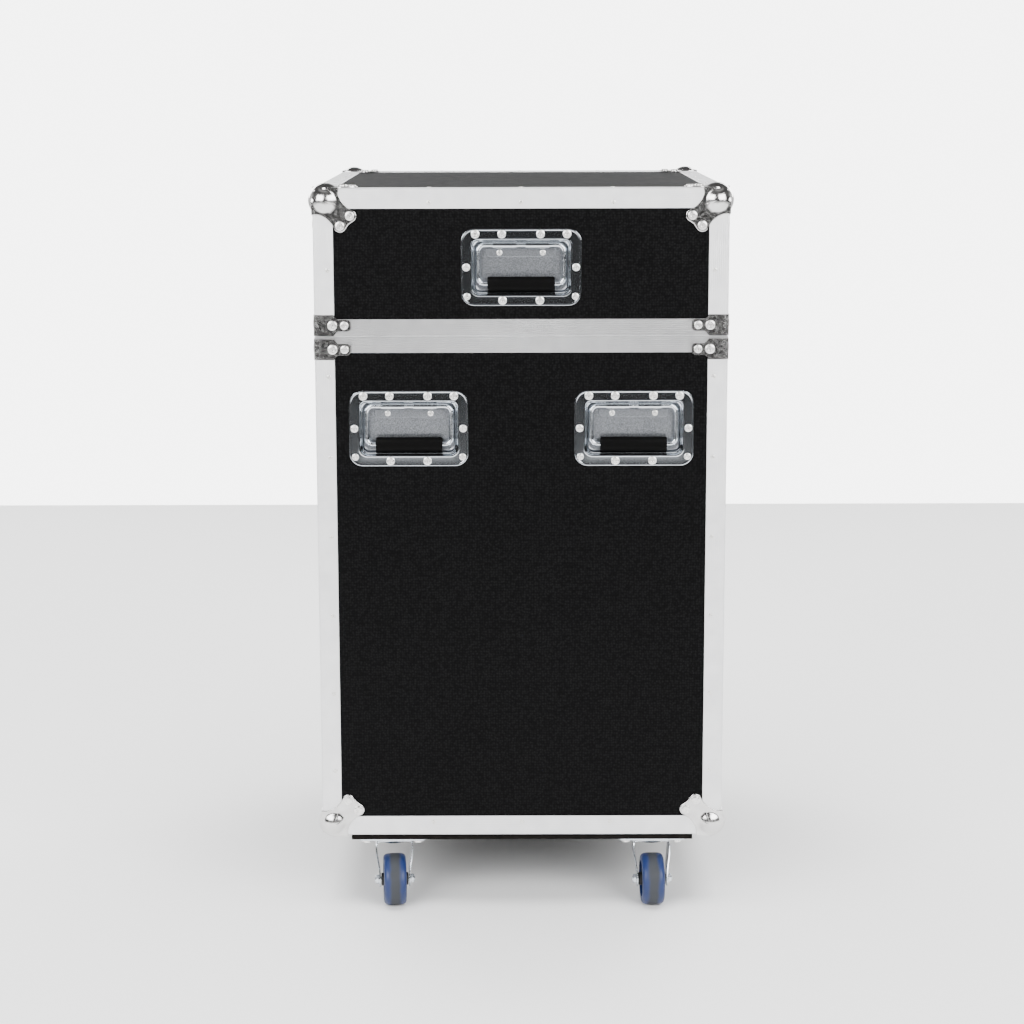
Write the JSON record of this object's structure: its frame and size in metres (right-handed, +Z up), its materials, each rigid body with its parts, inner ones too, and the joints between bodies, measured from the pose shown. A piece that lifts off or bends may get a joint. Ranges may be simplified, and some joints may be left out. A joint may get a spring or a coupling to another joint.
{
  "type": "equipment rack case",
  "caption": "Tall black wheeled rack case with a lift-off lid, aluminium edging, ball corners and recessed spring handles.",
  "frame": {"origin": "on the floor under the middle of the case", "axes": "+Z up; -Y out of the pictured handle face; -X and +X out of the latch faces"},
  "size_m": [0.635, 0.6886, 1.1279],
  "materials": {
    "panel_laminate": "black pebble-embossed laminate on plywood, low sheen",
    "aluminium_edging": "extruded, satin, fine lengthwise ribs",
    "bright_steel": "bright nickel-plated pressed steel",
    "zinc_steel": "bright zinc plate with a cool tint",
    "rivet_steel": "nickel-plated rivet heads",
    "grip_rubber": "black moulded sleeve, low gloss",
    "elastic_tread": "blue elastic rubber, worn grey on the rolling band",
    "wheel_hub": "dark moulded nylon",
    "plywood": "dark stained plywood",
    "black_steel": "black powder coat"
  },
  "bodies": {
    "base": {"base_floor_panel": "panel_laminate", "castor_board": "plywood", "base_left_panel": "panel_laminate", "base_right_panel": "panel_laminate", "base_front_panel": "panel_laminate", "base_back_panel": "panel_laminate", "base_corner_edges": "aluminium_edging", "base_bottom_edges": "aluminium_edging", "base_rim_edges": "aluminium_edging", "base_ball_corners": "bright_steel", "base_rim_brackets": "bright_steel", "base_rivets": "rivet_steel", "base_handle_dishes": "zinc_steel", "base_latch_dishes": "zinc_steel", "rack_rails": "black_steel", "rack_battens": "plywood", "caster_plates": "zinc_steel", "caster_bolts": "rivet_steel"},
    "lid": {"lid_top_panel": "panel_laminate", "lid_side_panels": "panel_laminate", "lid_top_edges": "aluminium_edging", "lid_corner_edges": "aluminium_edging", "lid_rim_edges": "aluminium_edging", "lid_ball_corners": "bright_steel", "lid_rim_brackets": "bright_steel", "lid_rivets": "rivet_steel", "lid_handle_dishes": "zinc_steel", "lid_latch_keepers": "zinc_steel"},
    "front_left_handle": {"front_left_handle_bail": "zinc_steel", "front_left_handle_grip": "grip_rubber"},
    "front_right_handle": {"front_right_handle_bail": "zinc_steel", "front_right_handle_grip": "grip_rubber"},
    "front_lid_handle": {"front_lid_handle_bail": "zinc_steel", "front_lid_handle_grip": "grip_rubber"},
    "back_left_handle": {"back_left_handle_bail": "zinc_steel", "back_left_handle_grip": "grip_rubber"},
    "back_right_handle": {"back_right_handle_bail": "zinc_steel", "back_right_handle_grip": "grip_rubber"},
    "back_lid_handle": {"back_lid_handle_bail": "zinc_steel", "back_lid_handle_grip": "grip_rubber"},
    "front_left_latch_claw": {"front_left_latch_claw": "zinc_steel"},
    "front_left_latch_wing": {"front_left_latch_wing": "zinc_steel"},
    "front_right_latch_claw": {"front_right_latch_claw": "zinc_steel"},
    "front_right_latch_wing": {"front_right_latch_wing": "zinc_steel"},
    "back_left_latch_claw": {"back_left_latch_claw": "zinc_steel"},
    "back_left_latch_wing": {"back_left_latch_wing": "zinc_steel"},
    "back_right_latch_claw": {"back_right_latch_claw": "zinc_steel"},
    "back_right_latch_wing": {"back_right_latch_wing": "zinc_steel"},
    "front_left_caster": {"front_left_caster_fork": "zinc_steel"},
    "front_left_wheel": {"front_left_wheel_tread": "elastic_tread", "front_left_wheel_hub": "wheel_hub"},
    "front_right_caster": {"front_right_caster_fork": "zinc_steel"},
    "front_right_wheel": {"front_right_wheel_tread": "elastic_tread", "front_right_wheel_hub": "wheel_hub"},
    "back_left_caster": {"back_left_caster_fork": "zinc_steel"},
    "back_left_wheel": {"back_left_wheel_tread": "elastic_tread", "back_left_wheel_hub": "wheel_hub"},
    "back_right_caster": {"back_right_caster_fork": "zinc_steel"},
    "back_right_wheel": {"back_right_wheel_tread": "elastic_tread", "back_right_wheel_hub": "wheel_hub"}
  },
  "joints": [
    {"name": "lid_lift", "type": "slide", "parent": "base", "child": "lid", "axis": [0, 0, 1], "range_m": [0, 0.35]},
    {"name": "front_left_handle_swing", "type": "hinge", "parent": "base", "child": "front_left_handle", "pos_m": [-0.17, -0.313, 0.7925], "axis": [-1, 0, 0], "range_deg": [0, 90], "stiffness_Nm_per_rad": 0.15, "springref_deg": -57.3},
    {"name": "front_right_handle_swing", "type": "hinge", "parent": "base", "child": "front_right_handle", "pos_m": [0.17, -0.313, 0.7925], "axis": [-1, 0, 0], "range_deg": [0, 90], "stiffness_Nm_per_rad": 0.15, "springref_deg": -57.3},
    {"name": "front_lid_handle_swing", "type": "hinge", "parent": "lid", "child": "front_lid_handle", "pos_m": [0, -0.313, 1.0355], "axis": [-1, 0, 0], "range_deg": [0, 90], "stiffness_Nm_per_rad": 0.15, "springref_deg": -57.3},
    {"name": "back_left_handle_swing", "type": "hinge", "parent": "base", "child": "back_left_handle", "pos_m": [-0.17, 0.313, 0.7925], "axis": [1, 0, 0], "range_deg": [0, 90], "stiffness_Nm_per_rad": 0.15, "springref_deg": -57.3},
    {"name": "back_right_handle_swing", "type": "hinge", "parent": "base", "child": "back_right_handle", "pos_m": [0.17, 0.313, 0.7925], "axis": [1, 0, 0], "range_deg": [0, 90], "stiffness_Nm_per_rad": 0.15, "springref_deg": -57.3},
    {"name": "back_lid_handle_swing", "type": "hinge", "parent": "lid", "child": "back_lid_handle", "pos_m": [0, 0.313, 1.0355], "axis": [1, 0, 0], "range_deg": [0, 90], "stiffness_Nm_per_rad": 0.15, "springref_deg": -57.3},
    {"name": "front_left_latch_claw_tilt", "type": "hinge", "parent": "base", "child": "front_left_latch_claw", "pos_m": [-0.3015, -0.18, 0.856], "axis": [0, 1, 0], "range_deg": [-10, 8]},
    {"name": "front_left_latch_wing_turn", "type": "hinge", "parent": "front_left_latch_claw", "child": "front_left_latch_wing", "pos_m": [-0.30787, -0.18, 0.88338], "axis": [-0.9903, 0, -0.1392], "range_deg": [-90, 90]},
    {"name": "front_right_latch_claw_tilt", "type": "hinge", "parent": "base", "child": "front_right_latch_claw", "pos_m": [0.3015, -0.18, 0.856], "axis": [0, -1, 0], "range_deg": [-10, 8]},
    {"name": "front_right_latch_wing_turn", "type": "hinge", "parent": "front_right_latch_claw", "child": "front_right_latch_wing", "pos_m": [0.30787, -0.18, 0.88338], "axis": [0.9903, 0, -0.1392], "range_deg": [-90, 90]},
    {"name": "back_left_latch_claw_tilt", "type": "hinge", "parent": "base", "child": "back_left_latch_claw", "pos_m": [-0.3015, 0.18, 0.856], "axis": [0, 1, 0], "range_deg": [-10, 8]},
    {"name": "back_left_latch_wing_turn", "type": "hinge", "parent": "back_left_latch_claw", "child": "back_left_latch_wing", "pos_m": [-0.30787, 0.18, 0.88338], "axis": [-0.9903, 0, -0.1392], "range_deg": [-90, 90]},
    {"name": "back_right_latch_claw_tilt", "type": "hinge", "parent": "base", "child": "back_right_latch_claw", "pos_m": [0.3015, 0.18, 0.856], "axis": [0, -1, 0], "range_deg": [-10, 8]},
    {"name": "back_right_latch_wing_turn", "type": "hinge", "parent": "back_right_latch_claw", "child": "back_right_latch_wing", "pos_m": [0.30787, 0.18, 0.88338], "axis": [0.9903, 0, -0.1392], "range_deg": [-90, 90]},
    {"name": "front_left_caster_swivel", "type": "hinge", "parent": "base", "child": "front_left_caster", "pos_m": [-0.203, -0.2695, 0.098], "axis": [0, 0, 1], "continuous": true},
    {"name": "front_left_wheel_roll", "type": "hinge", "parent": "front_left_caster", "child": "front_left_wheel", "pos_m": [-0.20004, -0.30337, 0.04], "axis": [0.9962, 0.0872, 0], "continuous": true},
    {"name": "front_right_caster_swivel", "type": "hinge", "parent": "base", "child": "front_right_caster", "pos_m": [0.203, -0.2695, 0.098], "axis": [0, 0, 1], "continuous": true},
    {"name": "front_right_wheel_roll", "type": "hinge", "parent": "front_right_caster", "child": "front_right_wheel", "pos_m": [0.20419, -0.30348, 0.04], "axis": [0.9994, 0.0349, 0], "continuous": true},
    {"name": "back_left_caster_swivel", "type": "hinge", "parent": "base", "child": "back_left_caster", "pos_m": [-0.203, 0.2695, 0.098], "axis": [0, 0, 1], "continuous": true},
    {"name": "back_left_wheel_roll", "type": "hinge", "parent": "back_left_caster", "child": "back_left_wheel", "pos_m": [-0.20596, 0.30337, 0.04], "axis": [-0.9962, -0.0872, 0], "continuous": true},
    {"name": "back_right_caster_swivel", "type": "hinge", "parent": "base", "child": "back_right_caster", "pos_m": [0.203, 0.2695, 0.098], "axis": [0, 0, 1], "continuous": true},
    {"name": "back_right_wheel_roll", "type": "hinge", "parent": "back_right_caster", "child": "back_right_wheel", "pos_m": [0.20419, 0.30348, 0.04], "axis": [-0.9994, 0.0349, 0], "continuous": true}
  ]
}
